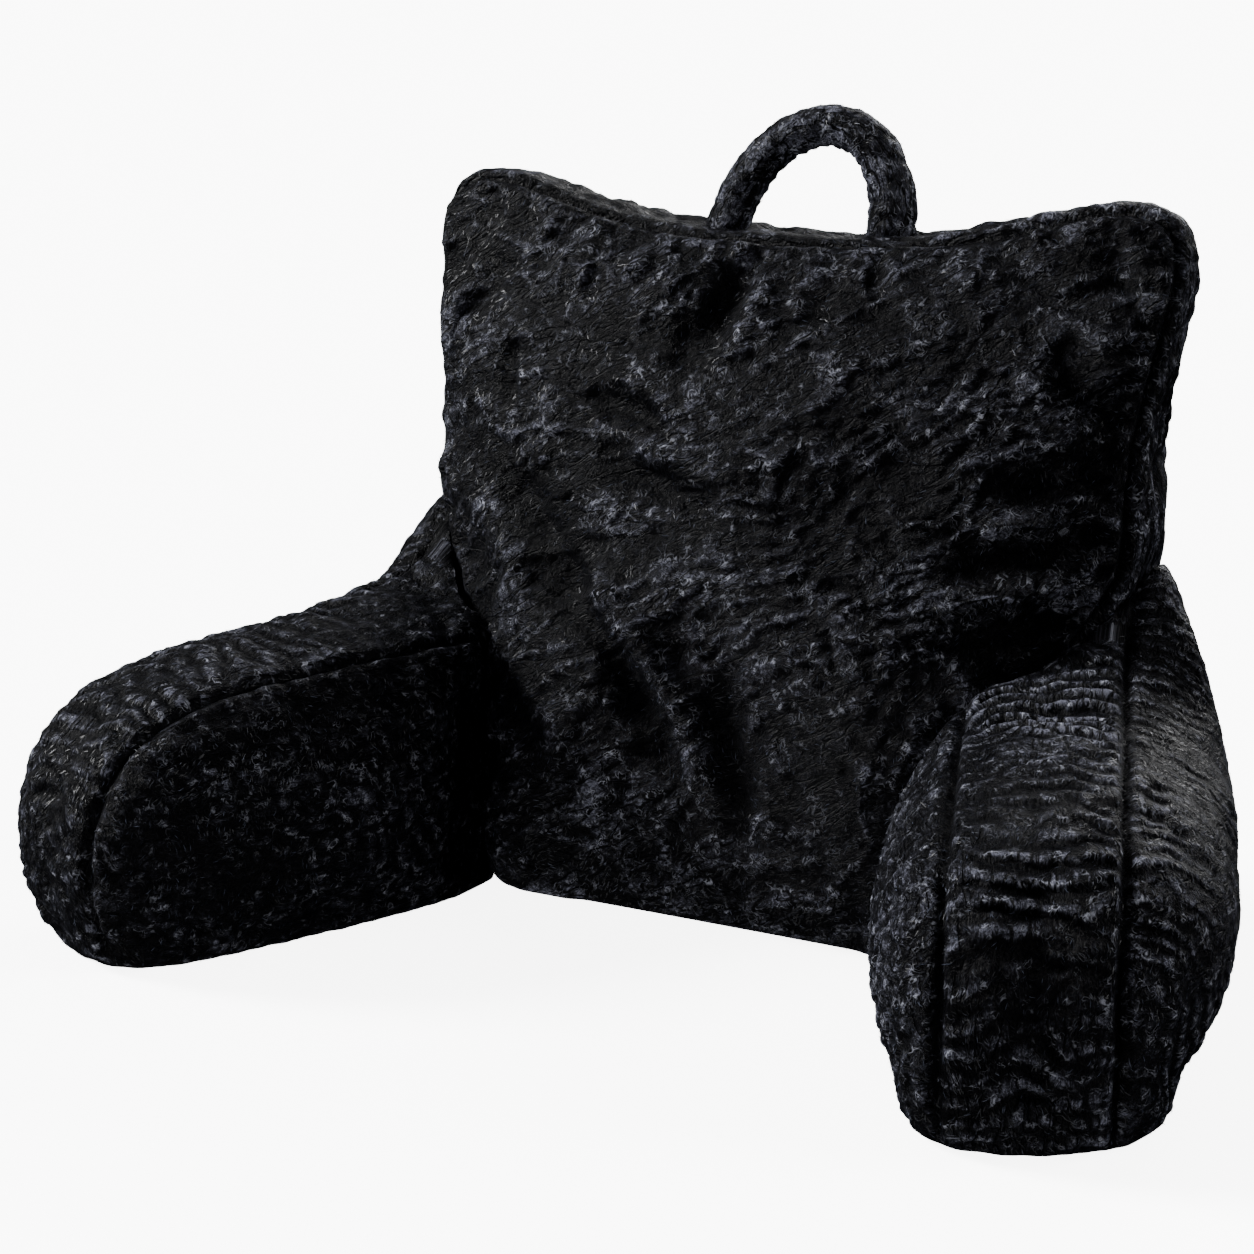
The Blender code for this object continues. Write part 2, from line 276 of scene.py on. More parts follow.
def tufts(points, seed, sharp=9.0):
    """Matted tufts as (height, shade): a unit lattice of cells, each a dome with a tilt of its own.

    Height is the mean of (1 - 2 d^2 + 1.5 tilt . (p - c)) over the near cells' centres c, weighted by
    exp(-sharp d^2), so that each cell is nearly flat and leans its own way, with a soft step to the next.
    Shade is a number from 0 to 1 for each cell, blended in the same way.
    """
    cell = np.floor(points).astype(np.int64)
    weights = np.zeros(len(points))
    height = np.zeros(len(points))
    shade = np.zeros(len(points))
    for a in (-1, 0, 1):
        for b in (-1, 0, 1):
            for c in (-1, 0, 1):
                home = cell + np.array((a, b, c))
                i, j, k = home.T
                away = points - home - np.stack([hashed(i, j, k, seed + n) for n in (0, 1, 2)], axis=1)
                square = np.einsum("ij,ij->i", away, away)
                weight = np.exp(-sharp * square)
                tilt = np.stack([hashed(i, j, k, seed + n) * 2.0 - 1.0 for n in (3, 4, 5)], axis=1)
                weights += weight
                height += weight * (1.0 - 2.0 * square + 1.5 * np.einsum("ij,ij->i", away, tilt))
                shade += weight * hashed(i, j, k, seed + 6)
    return height / weights, shade / weights


def wave(phase):
    """Waves from 0 to 1: each rises slowly over most of its length and falls fast over the rest."""
    up, down = 0.78, 0.22
    t = phase - np.floor(phase)
    rise = np.clip(t / up, 0.0, 1.0)
    fall = np.clip((1.0 - t) / down, 0.0, 1.0)
    rise, fall = rise * rise * (3 - 2 * rise), fall * fall * (3 - 2 * fall)
    return rise * fall


def eased(value, low, high):
    """0 below low and 1 above high, with a smooth rise between them."""
    t = np.clip((value - low) / (high - low), 0.0, 1.0)
    return t * t * (3.0 - 2.0 * t)


def arm_path():
    """Middle of the arm's inner seam in plan, as a line from behind the back to past the nose, and its start.

    The arm runs straight from the seat line to its nose. Behind the seat line its heading turns evenly from
    ARM_HEADING to WRAP_HEADING over WRAP_LENGTH.
    """
    along = np.linspace(-0.22, 0.40, 125)
    heading = ARM_HEADING + (WRAP_HEADING - ARM_HEADING) * np.clip(-along / WRAP_LENGTH, 0.0, 1.0)
    step = along[1] - along[0]
    x = np.cumsum(np.sin(heading)) * step
    y = -np.cumsum(np.cos(heading)) * step
    x += ARM_START[0] - np.interp(0.0, along, x)
    y += ARM_START[1] - np.interp(0.0, along, y)
    return along, heading, np.stack([x, y, np.zeros_like(x)], axis=1)


def arm_places(points, side):
    """Along and across coordinates of points on an arm, from the nearest place on the arm's path in plan."""
    along, _, line = arm_path()
    flat = points * np.array((side, 1.0, 0.0))
    offset, way, length = line_field(flat, line)
    across = -offset[:, 0] * way[:, 1] + offset[:, 1] * way[:, 0]
    return along[0] + length, across


def arm_seam(which, side):
    """An arm's inner (0) or outer (1) seam as a closed line."""
    flat = smooth_line(np.array(ARM_SEAMS)[:, 2 * which : 2 * which + 2], 4, closed=True)
    along, heading, line = arm_path()
    across = which * BAND_WIDTH
    turn = np.interp(flat[:, 0], along, heading)
    x = np.interp(flat[:, 0], along, line[:, 0]) + across * np.cos(turn)
    y = np.interp(flat[:, 0], along, line[:, 1]) + across * np.sin(turn)
    return np.stack([side * x, y, flat[:, 1]], axis=1)


def back_seam(which):
    """The back's front (0) or rear (1) seam as a closed line, its left half the mirror of its right."""
    half = smooth_line(np.array(BACK_SEAMS)[:, 3 * which : 3 * which + 3], 4)
    whole = np.vstack([half, half[-2::-1] * np.array((-1.0, 1.0, 1.0))])
    return whole + np.array((0.0, SEAT_Y, 0.0))


def read(kind, name="co", width=3):
    """Numbers of a mesh's vertices, triangles or attribute values, as an array with a row for each."""
    data = np.empty(len(kind) * width)
    kind.foreach_get(name, data)
    return data.reshape(-1, width)


def as_object(name, mesh):
    """An object that shows a mesh."""
    item = bpy.data.objects.new(name, mesh)
    bpy.context.scene.collection.objects.link(item)
    return item


def applied(item):
    """Turns an object's modifiers into its mesh."""
    graph = bpy.context.evaluated_depsgraph_get()
    mesh = bpy.data.meshes.new_from_object(item.evaluated_get(graph))
    item.modifiers.clear()
    old = item.data
    item.data = mesh
    bpy.data.meshes.remove(old)


def normals_of(mesh):
    """Unit normals at a mesh's vertices."""
    found = np.empty(len(mesh.vertices) * 3)
    mesh.vertex_normals.foreach_get("vector", found)
    return found.reshape(-1, 3)


def put(mesh, name, kind, values):
    """Stores numbers on a mesh's vertices as a named attribute."""
    field = mesh.attributes.new(name, kind, "POINT")
    part = "vector" if kind == "FLOAT_VECTOR" else "value"
    field.data.foreach_set(part, np.ascontiguousarray(values).ravel())


def remeshed(node, name, seams, settings):
    """A copy of a solid in even quads, slimmer in the middle of its panels, and its distances from the seams.

    Each point is drawn in along its normal by slim, which eases from nothing beside a seam to its whole 60 mm
    off. All of it is let out by stand_out, to make up for the edges that relaxing rounds.
    """
    beside_seam, mid_panel = 0.008, 0.060
    stand_out = 0.0008
    lowest = 0.0025
    graph = bpy.context.evaluated_depsgraph_get()
    mesh = bpy.data.meshes.new_from_object(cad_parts[node].evaluated_get(graph))
    shape = bmesh.new()
    shape.from_mesh(mesh)
    bmesh.ops.remove_doubles(shape, verts=shape.verts, dist=1e-5)
    shape.to_mesh(mesh)
    shape.free()
    mesh.materials.clear()
    item = as_object(name, mesh)
    grid = item.modifiers.new("even", "REMESH")
    grid.mode = "VOXEL"
    grid.voxel_size = settings.grid
    relax = item.modifiers.new("relaxed", "SMOOTH")
    relax.factor = 0.5
    relax.iterations = 2
    applied(item)
    places = read(item.data.vertices)
    near = np.min([np.linalg.norm(line_field(places, seam)[0], axis=1) for seam in seams], axis=0)
    free = eased(places[:, 2], 0.002, 0.012) * eased(near, beside_seam, mid_panel)
    places -= normals_of(item.data) * (settings.slim * free - stand_out)[:, None]
    places[:, 2] = np.where(places[:, 2] < lowest, 0.0, places[:, 2])
    item.data.vertices.foreach_set("co", places.ravel())
    item.data.update()
    return item, places, near


def gap_to(points, others):
    """Distance from each point to the nearest of some other points, worked out in blocks."""
    found = np.empty(len(points))
    size = 400
    for start in range(0, len(points), size):
        block = points[start : start + size]
        square = (block**2).sum(axis=1)[:, None] + (others**2).sum(axis=1) - 2.0 * block @ others.T
        found[start : start + size] = np.sqrt(np.maximum(square.min(axis=1), 0.0))
    return found


def blown_up(item, held, swell):
    """Fills a piece as cloth with pressure inside, some points held, and caps how far the others may move."""
    places = read(item.data.vertices)
    group = item.vertex_groups.new(name="held")
    group.add(np.flatnonzero(held).tolist(), 1.0, "REPLACE")
    cloth = item.modifiers.new("filling", "CLOTH")
    cloth.settings.effector_weights.gravity = 0.0
    for name, value in CLOTH.items():
        setattr(cloth.settings, name, value)
    cloth.point_cache.frame_start = 1
    cloth.point_cache.frame_end = FRAMES
    scene = bpy.context.scene
    for step in range(1, FRAMES + 1):
        scene.frame_set(step)
    applied(item)
    scene.frame_set(1)
    moved = read(item.data.vertices) - places
    far = np.linalg.norm(moved, axis=1)
    most = swell * np.tanh(far / swell) / np.maximum(far, 1e-9)
    places += moved * most[:, None]
    places[:, 2] = np.maximum(places[:, 2], 0.0)
    item.data.vertices.foreach_set("co", places.ravel())
    item.vertex_groups.clear()


def divided(item, times):
    """Splits a piece's faces and smooths it as a subdivision surface."""
    finer = item.modifiers.new("fine", "SUBSURF")
    finer.levels = finer.render_levels = times
    applied(item)


def fold_heights(points, folds):
    """Height of folds over a panel, from their lines in x and z.

    Each fold is higher * height * exp(-(d / (wider * width))^2) across its line, which wanders a little, and
    fades in and out over its length.
    """
    higher, wider = 1.1, 1.25
    reach = 0.16
    total = np.zeros(len(points))
    for width, height, line in folds:
        route = smooth_line(np.array([(x, z, 0.0) for x, z in line]), 6)
        wander = width * 0.5 * value_noise(points * np.array((45.0, 45.0, 0.0)) + 3.1, int(1e5 * width))
        near = np.abs(points - route.mean(axis=0)).max(axis=1) < reach
        offset, _, length = line_field(points[near], route)
        d = (np.linalg.norm(offset[:, :2], axis=1) + wander[near] * 0.6) / wider
        whole = np.linalg.norm(np.diff(route, axis=0), axis=1).sum()
        fade = np.sin(np.pi * np.clip(length / whole, 0.0, 1.0)) ** 0.7
        total[near] += higher * height * np.exp(-((d / width) ** 2)) * fade
    return total


def seam_shape(distance, length, gather, settings, seed):
    """Height beside a seam: a groove, a raised lip each side and puckers across it.

    The groove is depth * exp(-(d / 2.6 mm)^2) and the lips are centred 7 mm from it. Puckers are noise along
    the seam, about 9 mm long, that fade over 26 mm from the seam, times gather.
    """
    lip_height, pucker_height = 0.0016, 0.0026
    d = np.abs(distance)
    groove = -settings.seam_depth * np.exp(-((d / 0.0026) ** 2))
    lip = lip_height * np.exp(-(((d - 0.007) / 0.005) ** 2))
    spots = np.stack([length / 0.0085, np.sign(distance) * 4.0, d / 0.05], axis=1)
    pucker = pucker_height * value_noise(spots, seed) * np.exp(-((d / 0.026) ** 2))
    pucker *= 1.0 - np.exp(-((d / 0.004) ** 2))
    return groove + lip + gather * pucker


class Settings(bpy.types.PropertyGroup):
    """Sizes and colours of the pillow's cloth."""

    grid: bpy.props.FloatProperty(
        name="Grid", description="Edge of the even quads before they are split", default=0.0081, unit="LENGTH"
    )
    slim: bpy.props.FloatProperty(
        name="Slim", description="How far the middle of a panel starts inside", default=0.008, unit="LENGTH"
    )
    swell: bpy.props.FloatProperty(
        name="Swell", description="How far the filling may push the cloth out", default=0.009, unit="LENGTH"
    )
    arm_swell: bpy.props.FloatProperty(
        name="Arm Swell", description="The same on the firmer arms", default=0.0055, unit="LENGTH"
    )
    seam_depth: bpy.props.FloatProperty(
        name="Seam Depth", description="Depth of a seam between two panels", default=0.0030, unit="LENGTH"
    )
    tuft_height: bpy.props.FloatProperty(
        name="Tuft Height", description="Height of the matted tufts", default=0.0019, unit="LENGTH"
    )
    ripple_height: bpy.props.FloatProperty(
        name="Ripple Height", description="Height of the ripples on the arms", default=0.0040, unit="LENGTH"
    )
    ripple_pitch: bpy.props.FloatProperty(
        name="Ripple Pitch", description="Distance from ripple to ripple", default=0.0165, unit="LENGTH"
    )
    handle_radius: bpy.props.FloatProperty(
        name="Handle Radius", description="Radius of the stuffed handle", default=0.0138, unit="LENGTH"
    )
    pile_length: bpy.props.FloatProperty(
        name="Pile Length", description="Length of the loose pile", default=0.0036, unit="LENGTH"
    )
    pile_count: bpy.props.IntProperty(
        name="Pile Count", description="Strands of loose pile on one square metre", default=60000
    )
    pile_dark: bpy.props.StringProperty(
        name="Pile Root", description="Colour deep in the pile", default="#020203"
    )
    # The pale end of the plush's tone: paler fibres at random, and the painted light on tuft tops, ridges and
    # ripple crests.
    pile_pale_and_highlight: bpy.props.StringProperty(name="Pile Tip", description="Colour at the tips", default="#484953")


def add(tree, kind, links=(), **settings):
    """Adds a node. Settings name its properties or its sockets, and links are (socket, output) pairs."""
    made = tree.nodes.new(kind)
    for name, value in settings.items():
        if hasattr(made, name):
            setattr(made, name, value)
        else:
            made.inputs[name.replace("_", " ")].default_value = value
    for socket, output in links:
        tree.links.new(output, made.inputs[socket])
    return made


def noise(tree, vector, scale, detail, bend=0.0):
    """Value of a noise texture at a vector."""
    links = [("Vector", vector)]
    return add(tree, "ShaderNodeTexNoise", links, Scale=scale, Detail=detail, Distortion=bend).outputs["Fac"]


def product(tree, a, b):
    """Two values multiplied."""
    return add(tree, "ShaderNodeMath", [(0, a), (1, b)], operation="MULTIPLY").outputs[0]


def on_top(tree, value, height, base):
    """A value times a height, added to another value."""
    made = add(tree, "ShaderNodeMath", [(0, value), (2, base)], operation="MULTIPLY_ADD")
    made.inputs[1].default_value = height
    return made.outputs[0]


def ramp(tree, value, low, high, at=0.0, away=1.0):
    """A value that goes from at, below low, to away, above high."""
    ends = {"From_Min": low, "From_Max": high, "To_Min": at, "To_Max": away}
    return add(tree, "ShaderNodeMapRange", [("Value", value)], **ends).outputs[0]


def line_of(tree, value, width, at, away):
    """A value that goes from at, where a noise crosses its middle, to away at a width either side of that."""
    off = add(tree, "ShaderNodeMath", [(0, value)], operation="SUBTRACT")
    off.inputs[1].default_value = 0.5
    gap = add(tree, "ShaderNodeMath", [(0, off.outputs[0])], operation="ABSOLUTE")
    return ramp(tree, gap.outputs[0], 0.0, width, at, away)


def between(tree, factor, low, high):
    """A colour between two hex codes, or between a colour from the tree and one hex code."""
    made = add(tree, "ShaderNodeMix", [("Factor", factor)], data_type="RGBA")
    if isinstance(low, str):
        made.inputs[6].default_value = linear(low)
    else:
        tree.links.new(low, made.inputs[6])
    made.inputs[7].default_value = linear(high)
    return made.outputs[2]


def plush_material(settings):
    """Crushed polyester plush: near-black and soft, with painted shade and fine painted blue-grey glints in its
    colour.
    """
    material = bpy.data.materials.new("crushed_plush")
    material.use_nodes = True
    tree = material.node_tree
    shader = tree.nodes["Principled BSDF"]
    lay = add(tree, "ShaderNodeAttribute", attribute_name="lay").outputs["Vector"]
    shade = add(tree, "ShaderNodeAttribute", attribute_name="tone_and_painted_light").outputs["Fac"]
    seam = add(tree, "ShaderNodeAttribute", attribute_name="seam").outputs["Fac"]
    # Fibres lie along the lay: about 2 mm across and 5 mm long, as coarse as they need to be to show.
    squash = add(tree, "ShaderNodeMapping", [("Vector", lay)], vector_type="POINT")
    squash.inputs["Scale"].default_value = (0.34, 1.0, 1.0)
    squashed = squash.outputs[0]
    fibres = product(tree, noise(tree, squashed, 560.0, 3.0, 1.9), noise(tree, lay, 210.0, 2.0, 2.4))
    # Bent fibre ends show as thin squiggles, cut into short pieces where another noise is low; they are raised
    # in the bump and painted pale in the colour as glints.
    thin = line_of(tree, noise(tree, lay, 130.0, 1.0, 1.8), 0.062, 1.0, 0.0)
    squiggle = product(tree, thin, ramp(tree, noise(tree, lay, 140.0, 1.0), 0.52, 0.60))
    # Where the mat parts, short creases run with the lay: the bump cuts them in, and the colour is darkened
    # along them as painted shade.
    crease = line_of(tree, noise(tree, squashed, 92.0, 2.0, 0.9), 0.060, 0.10, 1.0)
    tone = product(tree, product(tree, fibres, crease), shade)
    # The power keeps most of the pile near black, so that only the palest fibres show.
    steep = add(tree, "ShaderNodeMath", [(0, ramp(tree, tone, 0.03, 0.29))], operation="POWER")
    steep.inputs[1].default_value = 3.1
    # Painted shade: the colour is darkened within 3.5 mm of a seam, where the pile dips into the groove.
    lit = product(tree, steep.outputs[0], ramp(tree, seam, 0.0, 0.0035))
    # Base colour runs from near-black to the pale tone by lit, which holds random tone and painted light and
    # shade.
    colour = between(tree, lit, settings.pile_dark, settings.pile_pale_and_highlight)
    # Painted glints: squiggles are painted pale blue-grey, only on the tufts whose tone is pale.
    ends = product(tree, squiggle, ramp(tree, shade, 0.24, 1.0))
    tree.links.new(between(tree, ends, colour, "#7c7e88"), shader.inputs["Base Color"])
    # Squiggles stand up from the fibres, and creases cut into them.
    relief = on_top(tree, crease, 0.35, on_top(tree, squiggle, 0.32, fibres))
    bump = add(tree, "ShaderNodeBump", [("Height", relief)], Strength=1.0, Distance=0.0030)
    tree.links.new(bump.outputs[0], shader.inputs["Normal"])
    shader.inputs["Roughness"].default_value = 0.44
    shader.inputs["Specular IOR Level"].default_value = 0.018
    shader.inputs["Sheen Weight"].default_value = 0.004
    shader.inputs["Sheen Roughness"].default_value = 0.35
    shader.inputs["Sheen Tint"].default_value = linear("#8b93ad")
    return material


def strand_material(settings):
    """Loose polyester fibre, with painted shade at the root and a painted cool grey glint at the tip, bright on
    only a few strands.
    """
    material = bpy.data.materials.new("loose_pile")
    material.use_nodes = True
    tree = material.node_tree
    shader = tree.nodes["Principled BSDF"]
    tip = add(tree, "ShaderNodeAttribute", attribute_name="tone_and_painted_light").outputs["Fac"]
    # Painted shade and glint: near-black at the root to cool grey at the tip.
    tree.links.new(between(tree, tip, settings.pile_dark, "#4a4f5e"), shader.inputs["Base Color"])
    shader.inputs["Roughness"].default_value = 0.42
    shader.inputs["Specular IOR Level"].default_value = 0.08
    return material


def material_named(name, maker, settings):
    """The material of that name, made the first time that it is asked for."""
    return bpy.data.materials.get(name) or maker(settings)


def strands(item, name, settings, lay_way, seed):
    """Loose pile on a piece as one mesh: thin leaves of two faces, lying along the lay in matted bunches.

    Roots are spread evenly over the piece's triangles by area, apart from its base. A strand leaves its root
    at a low angle along the lay, turned by noise that near strands share, and ends in a point. Its middle is
    lifted, so that it arches.
    """
    half_width = 0.00018
    base_corners = 0.012
    mesh = item.data
    mesh.calc_loop_triangles()
    places = read(mesh.vertices)
    normals = normals_of(mesh)
    corners = read(mesh.loop_triangles, "vertices").astype(int)
    a, b, c = (places[corners[:, n]] for n in (0, 1, 2))
    area = np.linalg.norm(np.cross(b - a, c - a), axis=1) / 2
    area[a[:, 2] + b[:, 2] + c[:, 2] < base_corners] = 0.0
    draws = np.random.default_rng(seed)
    count = int(area.sum() * settings.pile_count)
    picked = np.searchsorted(np.cumsum(area) / area.sum(), draws.random(count))
    picked = np.minimum(picked, len(corners) - 1)
    u, v = draws.random(count), draws.random(count)
    over = u + v > 1.0
    u, v = np.where(over, 1.0 - u, u), np.where(over, 1.0 - v, v)
    mix = np.stack([1.0 - u - v, u, v], axis=1)
    root = np.einsum("ni,nij->nj", mix, places[corners[picked]])
    normal = np.einsum("ni,nij->nj", mix, normals[corners[picked]])
    normal /= np.linalg.norm(normal, axis=1)[:, None]
    way = np.einsum("ni,nij->nj", mix, lay_way[corners[picked]])
    bunch = np.stack([rough_noise(root * 70.0, seed + n, 2) for n in (1, 2, 3)], axis=1)
    way = way + 1.5 * bunch + 0.35 * (draws.random((count, 3)) * 2.0 - 1.0)
    way -= np.einsum("ni,ni->n", way, normal)[:, None] * normal
    way /= np.maximum(np.linalg.norm(way, axis=1), 1e-6)[:, None]
    side = np.cross(normal, way)
    long = settings.pile_length * (0.6 + 0.8 * draws.random(count))[:, None]
    lift = (0.04 + 0.22 * draws.random(count))[:, None]
    wide = side * (half_width * (0.7 + 0.6 * draws.random(count))[:, None])
    mid = root + long * 0.5 * (way + normal * lift * 1.5)
    aside = side * long * 0.25 * (draws.random(count) - 0.5)[:, None]
    tip = root + long * (way + normal * lift * 0.9) + aside
    points = np.stack([root - wide, root + wide, mid - wide, mid + wide, tip], axis=1).reshape(-1, 3)
    points[:, 2] = np.maximum(points[:, 2], 0.0)
    first = np.arange(count)[:, None] * 5
    quads = first + np.array((0, 1, 3, 2))
    ends = first + np.array((2, 3, 4))
    pile = bpy.data.meshes.new(name)
    pile.vertices.add(len(points))
    pile.vertices.foreach_set("co", points.ravel())
    pile.loops.add(count * 7)
    pile.loops.foreach_set("vertex_index", np.hstack([quads, ends]).ravel())
    pile.polygons.add(count * 2)
    starts = np.arange(count)[:, None] * 7 + np.array((0, 4))
    pile.polygons.foreach_set("loop_start", starts.ravel())
    pile.update(calc_edges=True)
    pile.validate()
    # Painted shade and glints: each strand darkens towards its root, and only a few strands get a bright tip.
    shade = (0.06 + 0.94 * draws.random(count) ** 10)[:, None] * np.array((0.1, 0.1, 0.6, 0.6, 1.0))
    put(pile, "tone_and_painted_light", "FLOAT", shade.ravel())
    pile.materials.append(material_named("loose_pile", strand_material, settings))
    loose = as_object(name, pile)
    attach(loose, "root")
    return loose


def finish_piece(item, node, settings):
    """Smooth shading, material, and what the frame has to know about a filled piece."""
    mesh = item.data
    mesh.polygons.foreach_set("use_smooth", np.ones(len(mesh.polygons), dtype=bool))
    mesh.materials.clear()
    mesh.materials.append(material_named("crushed_plush", plush_material, settings))
    mesh.update()
    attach(item, "root")
    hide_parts(node)


def settle(item, places, lift, lay, seam, shade):
    """Moves points along their normals, keeps them above the floor and stores what the material reads.

    The stored tone is darkened in the hollows of the lift and kept paler on its ridges, as painted shade.
    """
    mesh = item.data
    # Painted shade: darker where the lift is low, paler where it is high.
    shade = np.clip(shade * (0.34 + 0.82 * eased(lift, -0.0042, 0.0036)), 0.02, 1.3)
    normals = normals_of(mesh)
    raised = places + normals * (lift * eased(places[:, 2], 0.0, 0.014))[:, None]
    raised[:, 2] = np.maximum(raised[:, 2], 0.0)
    mesh.vertices.foreach_set("co", raised.ravel())
    mesh.update()
    put(mesh, "lay", "FLOAT_VECTOR", lay)
    put(mesh, "seam", "FLOAT", np.abs(seam))
    put(mesh, "tone_and_painted_light", "FLOAT", shade)


def back_cover(settings):
    """The back cushion: crowned front and rear panels round a gusset, with the front's folds."""
    seams = [back_seam(0), back_seam(1)]
    item, places, near = remeshed("back_cushion", "back_cover", seams, settings)
    held = (near < HELD_BESIDE) | (places[:, 2] < HELD_BELOW)
    blown_up(item, held, settings.swell)
    divided(item, 2)
    places = read(item.data.vertices)
    fields = [line_field(places, seam) for seam in seams]
    gaps = [beside(offset, normals_of(item.data)) for offset, way, length in fields]
    front = fields[0][0][:, 1] < 0.0
    rear = ~front & (fields[1][0][:, 1] > 0.0)
    gusset = ~front & ~rear
    flat = np.stack([places[:, 0], places[:, 2], places[:, 1]], axis=1)
    around = np.stack([fields[0][2], places[:, 1], np.zeros(len(places))], axis=1)
    lay = np.where(gusset[:, None], around, flat)
    # The front's pile is brushed up to the right, the gusset's along it, and the rear's down. Each panel is
    # shifted to noise of its own.
    turn = np.where(front, math.radians(28), np.where(rear, math.radians(90), 0.0))
    u = lay[:, 0] * np.cos(turn) + lay[:, 1] * np.sin(turn)
    v = -lay[:, 0] * np.sin(turn) + lay[:, 1] * np.cos(turn)
    lay = np.stack([u, v, lay[:, 2]], axis=1) + np.where(gusset, 3.7, np.where(rear, 1.9, 0.0))[:, None]
    bent = lay + 0.034 * np.stack([rough_noise(lay * 8.0, n, 2) for n in (14, 15, 16)], axis=1)
    warp = bent - lay + np.stack([0.006 * rough_noise(lay * WARP, n, 2) for n in (11, 12, 13)], axis=1)
    big, shade = tufts((lay + warp) / np.array((0.018, 0.0105, 0.015)), 21)
    small, fleck = tufts((lay + warp) / np.array((0.0090, 0.0055, 0.0080)), 41)
    creases = (1.0 - np.abs(rough_noise((lay + warp) / np.array((0.042, 0.016, 0.028)), 51, 2))) ** 3
    patch = rough_noise(lay * PATCHES, 55, 2)
    calm = np.clip(0.34 + 0.35 * patch, 0.08, 0.7) * eased(np.minimum(*gaps), *CLEAR_OF_SEAM)
    lift = settings.tuft_height * calm * ((big - 0.35) + 0.42 * (small - 0.35))
    lift += 0.0021 * (creases - 0.45) * np.where(front, 1.0, 0.5) * eased(np.minimum(*gaps), 0.002, 0.020)
    lift += 0.0020 * rough_noise(lay * SWELLS, 61, 2)
    for (offset, way, length), gap, seed in zip(fields, gaps, (71, 72)):
        gather = np.where(front, 1.25, 0.4)
        lift += seam_shape(gap * np.where(front, 1.0, -1.0), length, gather, settings, seed)
    folds = fold_heights(flat * np.array((1.0, 1.0, 0.0)), FRONT_FOLDS)
    lift += np.where(front, folds, 0.0) * eased(gaps[0], 0.0, 0.010)
    # Tone: random per tuft cell and patch, with painted light added on the tops of the small tufts and along the
    # raised creases.
    shade = 0.46 + 0.14 * (shade + fleck - 1.0) + 0.22 * small + 0.08 * patch + 0.34 * (creases - 0.40)
    settle(item, places, lift, lay, np.minimum(*gaps), shade)
    finish_piece(item, "back_cushion", settings)
    way = np.where(gusset[:, None], fields[0][1], np.array((-0.55, 0.0, -0.8)))
    strands(item, "back_pile", settings, way, 5)
    return item


